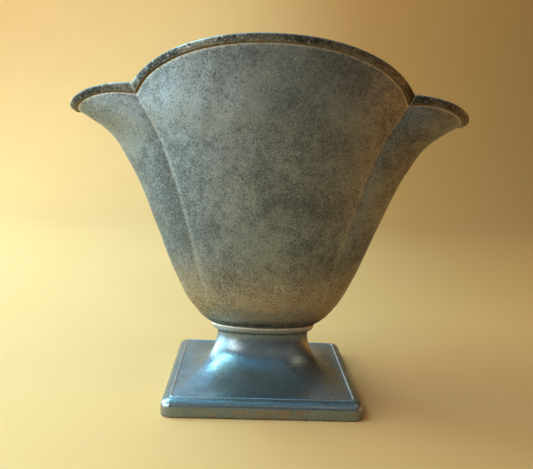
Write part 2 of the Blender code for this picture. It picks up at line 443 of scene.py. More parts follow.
class Recipe:
    """Adds and joins the nodes of one material, so that a finish reads as a list of steps."""

    def __init__(self, name: str) -> None:
        """Start a material of that name whose patterns lie on Object coordinates."""
        self.material = bpy.data.materials.new(name)
        self.material.use_nodes = True
        self.nodes = self.material.node_tree.nodes
        self.links = self.material.node_tree.links
        self.shader = self.nodes["Principled BSDF"]
        self.place = self.nodes.new("ShaderNodeTexCoord").outputs["Object"]

    def feed(self, node: bpy.types.Node, inputs: Inputs) -> None:
        """Join inputs of a node to sockets, or set their own values.

        Args:
            node: The node.
            inputs: A socket, number or tuple for each input, by its name or place.
        """
        for name, value in inputs.items():
            socket = node.inputs[name]
            if isinstance(value, bpy.types.NodeSocket):
                self.links.new(value, socket)
            elif isinstance(value, tuple):
                socket.default_value = (*value, 1.0)[: len(socket.default_value)]
            else:
                socket.default_value = value

    def add(self, kind: str, inputs: Inputs, **settings: str) -> bpy.types.NodeOutputs:
        """Add a shader node.

        Args:
            kind: Its type, without the leading ShaderNode.
            inputs: What its inputs are fed.
            **settings: Its properties.

        Returns:
            Its outputs.
        """
        node = self.nodes.new(f"ShaderNode{kind}")
        for name, value in settings.items():
            setattr(node, name, value)
        self.feed(node, inputs)
        return node.outputs

    def noise(self, size: float, grain: Grain, shift: float = 0.0) -> Socket:
        """Noise whose blotches are about a given size.

        Args:
            size: Size of a blotch in millimetres.
            grain: Octaves of finer noise, weight of each finer octave, and how far the
                pattern is moved, to be unlike another of the same size.
            shift: How much further it is moved.

        Returns:
            The noise, about 0.5 in the middle.
        """
        detail, rough, own_shift = grain
        shift = own_shift + shift
        moved = self.add("Mapping", {"Vector": self.place, "Location": (shift, 2 * shift, 3 * shift)})
        settings = {"Scale": 1 / (size * MM), "Detail": detail, "Roughness": rough}
        return self.add("TexNoise", {"Vector": moved["Vector"], **settings})["Fac"]

    def cells(self, size: float) -> Socket:
        """Distance to the nearest of points scattered about a size apart, in such sizes."""
        return self.add("TexVoronoi", {"Vector": self.place, "Scale": 1 / (size * MM)})["Distance"]

    def along(self, axis: str) -> Socket:
        """Coordinate of a point along X, Y or Z, in metres."""
        return self.add("SeparateXYZ", {"Vector": self.place})[axis]

    def mark(self, name: str) -> Socket:
        """An attribute of the piece's own mesh."""
        return self.add("Attribute", {}, attribute_name=name)["Fac"]

    def ease(self, value: Socket, start: float, end: float, to: float = 1.0) -> Socket:
        """Value eased from 0 at the start to a top value at the end, and held outside them."""
        window = {"Value": value, "From Min": start, "From Max": end, "To Max": to}
        return self.add("MapRange", window, interpolation_type="SMOOTHSTEP")["Result"]

    def spread(self, value: Socket, low: float, high: float) -> Socket:
        """A 0 to 1 value carried in a straight line to low to high."""
        return self.add("MapRange", {"Value": value, "To Min": low, "To Max": high})["Result"]

    def maths(self, operation: str, first: Socket, second: Socket | float = 0.0) -> Socket:
        """Result of a Math node: ADD, MULTIPLY, SUBTRACT and so on."""
        return self.add("Math", {0: first, 1: second}, operation=operation)["Value"]

    def times(self, first: Socket, second: Socket | float) -> Socket:
        """Product of two values."""
        return self.maths("MULTIPLY", first, second)

    def blend(self, share: Socket, first: Socket | Colour, second: Socket | Colour) -> Socket:
        """First colour with a share of the second mixed in."""
        return self.add("Mix", {"Factor": share, 6: first, 7: second}, data_type="RGBA")[2]

    def bump(self, height: Socket, depth: float, below: Socket | None = None) -> Socket:
        """Surface relief of a depth in millimetres, over the relief below it."""
        under = {} if below is None else {"Normal": below}
        return self.add("Bump", {"Height": height, "Distance": depth * MM, **under})["Normal"]


@dataclass(frozen=True)
class AgedPewter:
    """Cast pewter with a cloudy patina, dark specks, pits, hairline scratches and worn edges.

    The marks that the finish reads from the mesh are wear (burnished metal, and a painted
    highlight beside the bowl's creases), grime (dirt in a hollow, and painted shade in the bowl's
    creases, at its base, under the collar's top and in the rim's cove, which is also a painted
    reflection) and inside (the unpolished inner face). Sizes and depths are millimetres.
    """

    name: str
    slot: Slot
    open_metal: Colour
    patina: Colour
    burnish: Colour
    # Colour of dirt and of painted shade; in the rim's cove, of a painted reflection too.
    dirt_and_shade: Colour
    patch_size: float
    mottle_size: float
    speck_size: float
    cloud_window: Pair
    cloud_share: float
    speck_share: float
    roughness: Pair
    grain_depth: float
    mottle_depth: float
    metallic: float = 0.85
    patch_grain: Grain = (3.0, 0.5, 0.0)
    mottle_grain: Grain = (5.0, 0.62, 0.3)
    fine_grain: Grain = (2.0, 0.75, 0.6)
    salt_grain: Grain = (1.0, 0.5, 0.9)
    scratch_grain: Grain = (1.0, 0.4, 1.7)
    break_grain: Grain = (2.0, 0.5, 2.3)
    patch_weight: float = 0.58
    mottle_weight: float = 0.42
    # Warm tint towards the bottom: on the bowl partly patina and partly a painted reflection of the warm
    # floor; on the foot brown dirt on the plinth's side.
    bloom_and_reflection: Colour = (0.46, 0.34, 0.18)
    bloom_and_reflection_heights: Pair = (78.0, 36.0)
    bloom_and_reflection_mottle: Pair = (0.4, 1.6)
    bloom_and_reflection_share: float = 0.0
    speck: Colour = (0.05, 0.047, 0.038)
    speck_window: Pair = (0.47, 0.33)
    speck_crowding: float = 0.10
    salt_stretch: float = 1.15
    salt_window: Pair = (0.56, 0.72)
    salt_share: float = 0.22
    pit_spacing: float = 6.0
    pit_window: Pair = (0.13, 0.05)
    pit_share: float = 0.5
    scratch_spacing: float = 24.0
    scratch_window: Pair = (0.0045, 0.001)
    scratch_break: float = 13.0
    break_window: Pair = (0.55, 0.66)
    scratch_share: float = 0.35
    inside_window: Pair = (0.2, 0.9)
    grime_window: Pair = (0.25, 0.6)
    wear_window: Pair = (0.3, 0.52)
    cloud_rough: float = 0.6
    dull_rough: float = 0.12
    wear_polish: float = 0.08
    shift: float = 0.0

    def make(self) -> bpy.types.Material:
        """Build the material.

        Clouds are two sizes of noise added together. Specks are fine noise below a level
        that the clouds raise, so that they crowd in the dark patches.

        Returns:
            The material, ready for a piece of this finish.
        """
        r = Recipe(self.name)
        patch = r.noise(self.patch_size, self.patch_grain, self.shift)
        mottle = r.noise(self.mottle_size, self.mottle_grain, self.shift)
        mixed = r.maths("ADD", r.times(patch, self.patch_weight), r.times(mottle, self.mottle_weight))
        cloud = r.ease(mixed, *self.cloud_window)
        fine = r.noise(self.speck_size, self.fine_grain, self.shift)
        crowded = r.maths("SUBTRACT", fine, r.times(cloud, self.speck_crowding))
        speck = r.ease(crowded, *self.speck_window)
        salt = r.noise(self.speck_size * self.salt_stretch, self.salt_grain, self.shift)
        salt = r.ease(salt, *self.salt_window)
        pit = r.ease(r.cells(self.pit_spacing), *self.pit_window, self.pit_share)
        line = r.maths("SUBTRACT", r.noise(self.scratch_spacing, self.scratch_grain), 0.5)
        line = r.ease(r.maths("ABSOLUTE", line), *self.scratch_window, self.scratch_share)
        gaps = r.noise(self.scratch_break, self.break_grain)
        scratch = r.times(line, r.ease(gaps, *self.break_window))
        # Warm tint eased in towards the bottom, partly a painted reflection of the warm floor.
        rise = r.ease(r.along("Z"), *[z * MM for z in self.bloom_and_reflection_heights])
        bloom_and_reflection = r.times(rise, r.spread(mottle, *self.bloom_and_reflection_mottle))
        inside = r.mark("inside")
        wear_and_highlight = r.times(r.mark("wear_and_highlight"), r.ease(fine, *self.wear_window))

        tone = self.open_metal
        for share, colour in (
            (r.times(cloud, self.cloud_share), self.patina),
            (r.times(bloom_and_reflection, self.bloom_and_reflection_share), self.bloom_and_reflection),
            (r.times(salt, self.salt_share), self.burnish),
            (r.times(speck, self.speck_share), self.speck),
            (pit, self.speck),
            (scratch, self.burnish),
            (r.times(inside, r.spread(mottle, *self.inside_window)), self.dirt_and_shade),
            # Grime mark: real dirt, and painted shade in the creases, at the bowl's base, under the collar's
            # top and in the rim's cove.
            (r.times(r.mark("grime_and_shade"), r.ease(mottle, *self.grime_window)), self.dirt_and_shade),
            # Wear mark: burnished metal, and a painted highlight beside the bowl's creases.
            (wear_and_highlight, self.burnish),
        ):
            tone = r.blend(share, tone, colour)
        rough = r.spread(r.maths("ADD", r.times(cloud, self.cloud_rough), mottle), *self.roughness)
        for dull in (speck, inside):
            rough = r.maths("ADD", rough, r.times(dull, self.dull_rough))
        rough = r.maths("SUBTRACT", rough, r.times(wear_and_highlight, self.wear_polish))
        relief = r.bump(mottle, self.mottle_depth)
        relief = r.bump(r.maths("SUBTRACT", fine, pit), self.grain_depth, relief)
        surface = {"Base Color": tone, "Roughness": rough, "Metallic": self.metallic, "Normal": relief}
        r.feed(r.shader, surface)
        return r.material


BOWL_FINISH = AgedPewter(
    name="bowl_aged_pewter",
    slot=Slot.BOWL,
    open_metal=(0.225, 0.260, 0.285),
    patina=(0.115, 0.135, 0.142),
    burnish=(0.58, 0.60, 0.57),
    dirt_and_shade=(0.055, 0.052, 0.042),
    patch_size=30.0,
    mottle_size=5.0,
    speck_size=0.85,
    cloud_window=(0.38, 0.64),
    cloud_share=0.8,
    speck_share=0.62,
    # Bowl's warm bottom: part patina, part painted reflection of the warm floor.
    bloom_and_reflection_share=0.75,
    roughness=(0.34, 0.48),
    grain_depth=0.05,
    mottle_depth=0.10,
)

COLLAR_FINISH = replace(
    BOWL_FINISH,
    name="collar_aged_pewter",
    open_metal=(0.66, 0.54, 0.36),
    patina=(0.48, 0.39, 0.25),
    bloom_and_reflection_share=0.0,
    speck_share=0.35,
    shift=1.7,
)

RIM_FINISH = AgedPewter(
    name="rim_aged_pewter",
    slot=Slot.RIM,
    open_metal=(0.135, 0.13, 0.108),
    patina=(0.042, 0.040, 0.031),
    burnish=(0.40, 0.43, 0.42),
    # On the rim this rust brown colours only the cove under the moulding: a painted shade and reflection of
    # the warm floor.
    dirt_and_shade=(0.21, 0.115, 0.035),
    patch_size=22.0,
    mottle_size=2.6,
    speck_size=1.05,
    cloud_window=(0.42, 0.57),
    cloud_share=0.85,
    speck_share=0.9,
    roughness=(0.36, 0.50),
    grain_depth=0.07,
    mottle_depth=0.06,
    salt_share=0.5,
    speck=(0.02, 0.018, 0.013),
    shift=3.1,
)

FOOT_FINISH = AgedPewter(
    name="foot_polished_pewter",
    slot=Slot.FOOT,
    open_metal=(0.195, 0.255, 0.29),
    patina=(0.12, 0.152, 0.175),
    bloom_and_reflection=(0.30, 0.235, 0.165),
    burnish=(0.55, 0.62, 0.66),
    dirt_and_shade=(0.06, 0.055, 0.05),
    metallic=0.9,
    patch_size=26.0,
    mottle_size=6.0,
    speck_size=0.6,
    cloud_window=(0.42, 0.62),
    cloud_share=0.6,
    speck_share=0.12,
    bloom_and_reflection_heights=(6.2, 3.6),
    bloom_and_reflection_share=0.7,
    roughness=(0.22, 0.34),
    grain_depth=0.02,
    mottle_depth=0.05,
    bloom_and_reflection_mottle=(-2.4, 3.4),
    pit_share=0.15,
    shift=5.3,
)


@dataclass
class Casting:
    """A piece of the vase with its finish, and the node of the frame that it stands for."""

    node: str
    skin: Skin
    finish: AgedPewter

    def dress(self, material: bpy.types.Material) -> None:
        """Make the piece, give it its material and join it to the frame.

        Args:
            material: The finish's material.
        """
        piece = self.skin.make()
        piece.data.materials.append(material)
        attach(piece, BODY)
        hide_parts(self.node)
        log.info("%s: %d faces, %s", piece.name, len(piece.data.polygons), self.finish.name)


@dataclass
class Bowl:
    """Two cast half shells, from the collar up to the rim moulding."""

    form: BowlForm
    waver: Waver
    wall: float = 2.2
    floor_height: float = 35.7
    base_height: float = field(default_factory=lambda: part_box("bowl_front_shell")[0].z / MM)
    band_width: float = 3.8
    band_gap: float = 0.02
    calm_height: float = 6.0
    crease_starts: Pair = (40.0, 52.0)
    # Painted shade: a dark band on the bowl's underside just above the collar.
    base_painted_shade: float = 0.9
    base_shade_reach: Pair = (5.5, 1.5)
    rim_wear: Bell = Bell(0.55, 0.25, 0.45)
    seam_wear: Bell = Bell(0.3, 0.9, 0.8)
    seam_grime: Bell = Bell(0.5, 0.0, 0.16)
    # Painted highlight along each crease's main-lobe edge, and painted shade on its side-lobe edge.
    crease_painted_highlight: Bell = Bell(0.22, -0.8, 1.3)
    crease_painted_shade: Bell = Bell(0.25, 0.6, 1.1)
    main_columns: int = 150
    side_columns: int = 52
    column_powers: Pair = (1.5, 1.35)
    rows: int = 150
    row_power: float = 1.25

    def columns(self) -> Array:
        """Places round the front half, closer together at the creases.

        Returns:
            The places, rising from -2 to 2.
        """
        even = np.linspace(-1, 1, self.main_columns + 1)
        main_power, side_power = self.column_powers
        main = np.sign(even) * (1 - (1 - np.abs(even)) ** main_power)
        side = 1 + np.linspace(0, 1, self.side_columns + 1)[1:] ** side_power
        return np.concatenate([-side[::-1], main, side])

    def shell(self, half: Half) -> Casting:
        """One half of the bowl: outer face, rim edge, inner face and floor in each column.

        A column's rows rise from the base to the moulding, drawn together towards the top.
        The inner face lies one wall inside the outer one, and no lower than the floor.

        Args:
            half: Which half is made.

        Returns:
            The casting, with its marks of wear and painted highlight, grime and painted shade, and inside.
        """
        u = self.columns()[:, None]
        top = self.form.rim_height(u) - self.form.drop_below_rim(u, self.band_width + self.band_gap)
        share = 1 - (1 - np.linspace(0, 1, self.rows)) ** self.row_power
        z = self.base_height + (top - self.base_height) * share
        u = np.broadcast_to(u, z.shape)
        outer = self.form.eased_point(u, z)
        normal = self.form.eased_normal(u, z)
        inner = outer - self.wall * normal
        inner[..., 2] = np.maximum(inner[..., 2], self.floor_height)
        mirror = np.array([1.0, half.value, 1.0])
        outer, inner, normal = outer * mirror, inner * mirror, normal * mirror
        waver = self.waver.at(outer) * smoothstep((z - self.base_height) / self.calm_height)
        moved = normal * waver[..., None]
        outer, inner = outer + moved, inner + moved
        for face in (outer, inner):
            face[..., 1] = -np.maximum(-face[..., 1] * half.value, 0.0) * half.value
        seam_low, seam_high = outer[:, :1] * [1, 0, 1], inner[:, :1] * [1, 0, 1]
        rings = np.concatenate([seam_low, outer, inner[:, ::-1], seam_high], axis=1)
        return Casting(
            f"bowl_{half.name.lower()}_shell",
            Skin(f"cast_bowl_{half.name.lower()}", rings, self.marks(u, z, top, outer)),
            BOWL_FINISH,
        )

    def marks(self, u: Array, z: Array, top: Array, outer: Array) -> dict[str, Array]:
        """Wear, grime, painted highlight and painted shade of a shell.

        Wear runs in a thin line under the moulding and in a scraped strip along the seam at the
        tips; a painted highlight runs along each crease's inner edge. Painted shade lies in the
        creases and in a band at the base, and grime lies in the seam itself.

        Args:
            u: Place round the half.
            z: Height of each point of the outer face.
            top: Height of each column's top edge.
            outer: Points of the outer face.

        Returns:
            The marks for every point of a ring, by name.
        """
        seam = np.abs(outer[..., 1])
        under_rim = np.broadcast_to(top, z.shape) - z
        across = (np.abs(u) - 1) / self.form.ease_reach(z)
        depth = ease_between(z, *self.crease_starts)
        # Wear under the rim and along the seam is real; beside each crease a painted highlight is added.
        # Painted shade goes in the creases and in the band at the base; grime goes in the seam.
        wear_and_highlight = self.rim_wear.at(under_rim) + self.seam_wear.at(seam) + self.crease_painted_highlight.at(across) * depth
        grime_and_shade = self.crease_painted_shade.at(across) * depth + self.seam_grime.at(seam)
        grime_and_shade += self.base_painted_shade * ease_between(z - self.base_height, *self.base_shade_reach)
        edge, inner = np.zeros_like(z[:, :1]), np.zeros_like(z)
        return {
            "wear_and_highlight": np.concatenate([edge, wear_and_highlight, inner, edge], axis=1),
            "grime_and_shade": np.concatenate([edge, grime_and_shade, inner, edge], axis=1),
            "inside": np.concatenate([edge, inner, inner + 1, edge + 1], axis=1),
        }

    def build(self) -> list[Casting]:
        """Both halves of the bowl."""
        return [self.shell(half) for half in Half]


@dataclass
class RimMoulding:
    """Four lengths of moulding round the rim, mitred at the creases.

    The section is seen across the rim: depth out of the wall's face, and distance down from
    the top edge. It starts in the cove under the moulding, runs up the face, over the top
    and down the inside.
    """

    form: BowlForm
    waver: Waver
    width: float = 3.8
    proud: float = 1.0
    inside: float = 2.55
    edge: float = 0.7
    cove: float = 0.62
    lip: float = 0.25
    crown: float = 0.07
    mitre_gap: float = 0.05
    crease_side: float = 1e-6
    cove_painted_reflection: float = 0.9
    lip_wear: float = 0.2
    edge_wear: float = 0.3
    mitre_wear: float = 0.7
    mitre: Bell = Bell(1.0, 0.0, 0.4)
    arc_points: int = 9
    face_points: int = 11
    main_steps: int = 260
    side_steps: int = 150
    step_powers: Pair = (1.3, 1.2)

    def section(self) -> tuple[Array, Array, Array, Array]:
        """Corners of the section, with their wear and the painted shade and reflection of the cove.

        Returns:
            Depth, distance down, wear, and painted shade and reflection, one value for each corner.
        """
        quarter = np.linspace(0, math.pi / 2, self.arc_points)
        under = self.width - self.cove
        face_top, face_low = self.edge, under - self.lip
        rise = np.linspace(0, 1, self.face_points)[1:-1]
        cove_centre = self.proud - self.lip
        parts = [
            (cove_centre - self.cove * np.cos(quarter), self.width - self.cove * np.sin(quarter)),
            (cove_centre + self.lip * np.sin(quarter[1:]), face_low + self.lip * np.cos(quarter[1:])),
            (self.proud + self.crown * np.sin(rise * math.pi), face_low + (face_top - face_low) * rise),
            (self.proud - self.edge * (1 - np.cos(quarter)), face_top - self.edge * np.sin(quarter)),
            (
                self.proud - self.edge + (self.edge - self.inside - self.proud + self.edge) * rise,
                -self.crown * np.sin(rise * math.pi),
            ),
            (-self.inside + self.edge * (1 - np.sin(quarter)), self.edge * (1 - np.cos(quarter))),
            (np.full_like(rise, -self.inside), self.edge + (self.width - self.edge) * rise),
            (np.array([-self.inside]), np.array([self.width])),
        ]
        depth = np.concatenate([part[0] for part in parts])
        down = np.concatenate([part[1] for part in parts])
        wear_and_highlight = np.zeros_like(depth)
        first = 2 * len(quarter) - 1 + len(rise)
        wear_and_highlight[first : first + len(quarter)] = self.edge_wear * np.sin(2 * quarter) ** 2
        wear_and_highlight[len(quarter) - 1 : 2 * len(quarter) - 1] += self.lip_wear
        # Painted shade and reflection of the warm floor in the cove.
        grime_and_shade = np.zeros_like(depth)
        grime_and_shade[: len(quarter)] = self.cove_painted_reflection
        return depth, down, wear_and_highlight, grime_and_shade

    def sweep(self, u: Array) -> Array:
        """Sections along the front half of the rim: the wall's point and mitred direction.

        Args:
            u: Places along the rim.

        Returns:
            Points of shape (places, corners, 3).
        """
        depth, down, _, _ = self.section()
        top = self.form.rim_height(u)[:, None]
        drop = self.form.drop_below_rim(u, self.width)[:, None] / self.width
        z = top - drop * down
        places = np.broadcast_to(u[:, None], z.shape)
        outward = self.form.mitre_direction(places, z)
        return self.form.point(places, z) + depth[:, None] * outward

    def finish_ends(self, rings: Array) -> Array:
        """Draw both end sections in along the band by the gap of the mitre.

        Args:
            rings: Sections of one length, whose ends are moved.

        Returns:
            The same sections.
        """
        for end, neighbour in ((0, 1), (-1, -2)):
            rings[end] += unit(rings[neighbour] - rings[end]) * self.mitre_gap
        return rings

    def marks(self, rings: Array) -> dict[str, Array]:
        """Wear on the rounded top edge and at the mitres, painted shade and reflection in the cove.

        Args:
            rings: Sections of one length of moulding.

        Returns:
            The marks for every point, by name.
        """
        _, _, wear_and_highlight, grime_and_shade = self.section()
        from_end = np.linalg.norm(rings - rings[:1], axis=-1)
        from_end = np.minimum(from_end, np.linalg.norm(rings - rings[-1:], axis=-1))
        mitre = self.mitre.at(from_end)
        return {
            "wear_and_highlight": wear_and_highlight[None, :] + self.mitre_wear * mitre,
            "grime_and_shade": grime_and_shade[None, :] * (1 - mitre),
            "inside": np.zeros(rings.shape[:2]),
        }

    def casting(self, node: str, name: str, rings: Array) -> Casting:
        """One length of moulding, with its marks."""
        rings = self.finish_ends(rings)
        return Casting(node, Skin(name, rings, self.marks(rings)), RIM_FINISH)

    def along_main(self, half: Half) -> Casting:
        """Moulding over a main lobe, from notch to notch.

        Args:
            half: Which half of the bowl it is on.

        Returns:
            The casting.
        """
        even = np.linspace(-1, 1, self.main_steps + 1)
        places = np.sign(even) * (1 - (1 - np.abs(even)) ** self.step_powers[0])
        rings = self.sweep(places) * [1, half.value, 1]
        side = half.name.lower()
        return self.casting(f"rim_moulding_{side}", f"rim_band_{side}", rings)

    def round_side(self, side: float, word: str) -> Casting:
        """Moulding round a side lobe, from the front notch past the tip to the rear notch.

        Args:
            side: Sign of X on that side.
            word: Its name, left or right.

        Returns:
            The casting.
        """
        share = np.linspace(0, 1, self.side_steps + 1) ** self.step_powers[1]
        front = self.sweep(side * (1 + self.crease_side + (1 - self.crease_side) * share))
        front[-1, :, 1] = 0
        rings = np.concatenate([front, (front[:-1] * [1, -1, 1])[::-1]])
        return self.casting(f"rim_moulding_{word}", f"rim_band_{word}", rings)

    def build(self) -> list[Casting]:
        """All four lengths."""
        sides = [self.round_side(-1.0, "left"), self.round_side(1.0, "right")]
        return [self.along_main(half) for half in Half] + sides


@dataclass
class StemCollar:
    """Oval ring between the bowl and the foot: a crisp upper edge, rounded in below."""

    node: str = "stem_collar"
    joint: float = 0.28
    lip: float = 0.3
    lip_zone: Pair = (0.9, 1.0)
    tuck_low: float = 0.6
    tuck_high: float = 0.9
    least_wear: float = 0.45
    lip_wear: Bell = Bell(0.5, 0.9, 0.06)
    low_grime: Bell = Bell(0.8, -0.02, 0.1)
    # Painted shade where the collar's top tucks in under the bowl.
    high_painted_shade: Bell = Bell(0.9, 1.04, 0.05)
    around: int = 160
    steps: int = 26
    # share of the height, and how far each ring is drawn in from the widest one
    profile: tuple[tuple[float, float, float], ...] = (
        (0.0, 3.1, 2.5),
        (0.13, 2.0, 1.6),
        (0.41, 0.8, 0.7),
        (0.74, 0.2, 0.1),
        (1.0, 0.0, 0.0),
    )

    def build(self) -> list[Casting]:
        """The collar, as rings of an oval that follow the profile.

        Returns:
            The one casting, from the neck's top to the bowl's base.
        """
        low, high = (np.array(corner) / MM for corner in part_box(self.node))
        heights, ends, sides = np.array(self.profile).T
        share = np.linspace(0, 1, self.steps)
        z = low[2] + (high[2] - low[2]) * share
        length = high[0] - through_stations(heights, ends, share)
        depth = high[1] - through_stations(heights, sides, share)
        edge = self.lip * ease_between(share, *self.lip_zone)
        length, depth = (
            np.concatenate([[half[0] - self.tuck_low], half - edge, [half[-1] - self.tuck_high]])
            for half in (length, depth)
        )
        z = np.concatenate([[low[2] - self.joint], z, [high[2] + self.joint]])
        turn = np.linspace(0, 2 * math.pi, self.around, endpoint=False)
        x, y = length[:, None] * np.cos(turn), depth[:, None] * np.sin(turn)
        rings = np.stack([x, y, np.broadcast_to(z[:, None], x.shape)], axis=-1)
        level = np.broadcast_to(((z - low[2]) / (high[2] - low[2]))[:, None], x.shape)
        marks = {
            "wear_and_highlight": self.least_wear + self.lip_wear.at(level),
            "grime_and_shade": self.low_grime.at(level) + self.high_painted_shade.at(level),
            "inside": np.zeros_like(level),
        }
        return [Casting(self.node, Skin("oval_collar", rings, marks), COLLAR_FINISH)]


@dataclass
class Foot:
    """Rectangular plinth with a raised panel, swept up into an oval neck, hollow below."""

    node: str = "foot"
    corner: float = 4.8
    least_corner: float = 0.8
    soft_edge: float = 0.6
    round_over: float = 3.8
    border_height: float = 8.4
    panel_inset: float = 4.4
    panel_height: float = 8.9
    panel_corner: float = 2.0
    bead_width: float = 1.25
    bead_rise: float = 0.32
    panel_rise: float = 0.2
    rise_starts: float = 0.4
    groove_width: float = 0.5
    groove_depth: float = 0.06
    neck: Pair = (23.6, 6.9)
    plinth_wall: float = 3.0
    wall: float = 2.4
    easy_corner: float = 30.0
    corner_power: float = 0.8
    calm_heights: Pair = (3.0, 2.0)
    crest_wear: Bell = Bell(0.65, 0.0, 0.45)
    corner_wear: Bell = Bell(0.35, 6.0, 2.0)
    corner_zone: Pair = (0.88, 1.0)
    groove_grime: Bell = Bell(0.15, 0.0, 0.22)
    neck_grime: float = 0.7
    table_grime: float = 0.8
    grime_reach: float = 1.2
    arc_points: int = 15
    side_points: int = 6
    corner_steps: int = 22
    edge_steps: int = 44
    flare_steps: int = 60
    inner_steps: int = 30
    waver: Waver = Waver(amplitude=0.05, shortest=9.0, longest=30.0, seed=11)

    def outline(self) -> tuple[Array, Array]:
        """Rounded rectangle, as the corner that each point belongs to and its way round it.

        A point is the corner's centre plus the corner's radius times the way. Along a
        straight side the way stays and the centre slides from one corner to the next.

        Returns:
            Sign of the centre and unit way, each of shape (points, 2).
        """
        signs = np.array([(1, 1), (-1, 1), (-1, -1), (1, -1)], float)
        turn = np.linspace(0, math.pi / 2, self.corner_steps + 1)
        share = np.linspace(0, 1, self.edge_steps + 1)[1:-1, None]
        centres, ways = [], []
        for k, sign in enumerate(signs):
            angle = turn + k * math.pi / 2
            way = np.column_stack([np.cos(angle), np.sin(angle)])
            following = signs[(k + 1) % 4]
            centres += [np.tile(sign, (len(turn), 1)), sign * (1 - share) + following * share]
            ways += [way, np.tile(way[-1], (len(share), 1))]
        return np.concatenate(centres), np.concatenate(ways)

    def size(self) -> tuple[Array, float]:
        """Half width and half depth of the plinth, and height of the neck's top."""
        low, high = (np.array(side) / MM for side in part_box(self.node))
        return (high - low)[:2] / 2, high[2]

    def rings(self, inset: Array, corner: Array, z: Array) -> Array:
        """Rounded rectangles drawn in from the plinth's outline.

        Args:
            inset: How far each ring is drawn in.
            corner: Radius of its corners.
            z: Its height.

        Returns:
            Points of shape (rings, points, 3).
        """
        half, _ = self.size()
        signs, ways = self.outline()
        inset, corner, z = (np.asarray(v, float)[:, None, None] for v in (inset, corner, z))
        flat = signs * (half - inset - corner) + corner * ways
        return np.concatenate([flat, np.broadcast_to(z, flat.shape[:2] + (1,))], axis=-1)

    def flare(self, inset: float, low: float, top: float, thin: float, steps: int) -> Array:
        """Pedestal, from the panel's outline up a concave quarter round to the neck.

        A ring is the neck's oval plus a share, 1 - cos(t), of the way out to the panel's
        outline, whose corners grow rounder towards the neck; its height is the top less
        sin(t) of the rise.

        Args:
            inset: How far the lowest ring is drawn in from the plinth.
            low: Height of the lowest ring.
            top: Height of the neck.
            thin: How much narrower the neck is than outside.
            steps: Number of steps up the pedestal.

        Returns:
            Points of shape (steps, points, 3), without the lowest ring.
        """
        t = np.linspace(math.pi / 2, 0, steps + 1)[1:]
        share = 1 - np.cos(t)
        corner = self.panel_corner + self.easy_corner * (1 - share) ** self.corner_power
        panel = self.rings(np.full_like(t, inset), corner, np.zeros_like(t))
        reach = np.abs(panel).max(axis=(0, 1))
        turn = np.arctan2(panel[..., 1] / reach[1], panel[..., 0] / reach[0])
        across, deep = (half - thin for half in self.neck)
        oval = np.stack([across * np.cos(turn), deep * np.sin(turn), 0 * turn], axis=-1)
        rings = oval + (panel - oval) * share[:, None, None]
        rings[..., 2] = (top - (top - low) * np.sin(t))[:, None]
        return rings

    def build(self) -> list[Casting]:
        """The foot: underside edge, plinth side, round-over, panel step, pedestal, hollow.

        Returns:
            The one casting, open below.
        """
        _, top = self.size()
        quarter = np.linspace(0, math.pi / 2, self.arc_points)
        soft = self.soft_edge * (1 - np.sin(quarter[::2]))
        soft_z = self.soft_edge * (1 - np.cos(quarter[::2]))
        side_z = np.linspace(self.soft_edge, self.border_height - self.round_over, self.side_points)[1:]
        over = self.round_over * (1 - np.cos(quarter[1:]))
        over_z = side_z[-1] + self.round_over * np.sin(quarter[1:])
        wave = np.linspace(0, 2 * math.pi, self.arc_points)[1:]
        bead = self.panel_inset + self.bead_width * (wave / (2 * math.pi) - 0.5)
        bead_z = self.border_height + self.bead_rise * (1 - np.cos(wave)) / 2
        bead_z += self.panel_rise * smoothstep(wave / (2 * math.pi) - self.rise_starts)
        groove = bead[-1] + self.groove_width * wave[::2] / (2 * math.pi)
        groove_z = bead_z[-1] - self.groove_depth * (1 - np.cos(wave[::2])) / 2
        inset = np.concatenate([soft, 0 * side_z, over, bead, groove])
        z = np.concatenate([soft_z, side_z, over_z, bead_z, groove_z])
        corner = np.maximum(self.corner - inset, self.least_corner)
        share = smoothstep((inset - self.round_over) / (bead[-1] - self.round_over))
        corner = corner + (self.panel_corner - corner) * share
        outside = self.rings(inset, corner, z)
        pedestal = self.flare(inset[-1], z[-1], top, 0.0, self.flare_steps)
        ceiling = self.panel_height - self.wall
        hollow = self.rings(
            [self.plinth_wall] * 2 + [self.panel_inset],
            [self.corner - self.plinth_wall] * 2 + [self.panel_corner],
            [0.0, ceiling - self.soft_edge, ceiling],
        )
        vault = self.flare(self.panel_inset, ceiling, top - self.wall, self.wall, self.inner_steps)
        outer = np.concatenate([outside, pedestal])
        low, high = self.calm_heights
        settle = smoothstep(outer[..., 2] / low) * smoothstep((top - outer[..., 2]) / high)
        outer[..., 2] += self.waver.at(outer) * settle
        rings = np.concatenate([outer[::-1], hollow, vault])
        return [Casting(self.node, Skin("plinth_foot", rings, self.marks(rings, outer)), FOOT_FINISH)]

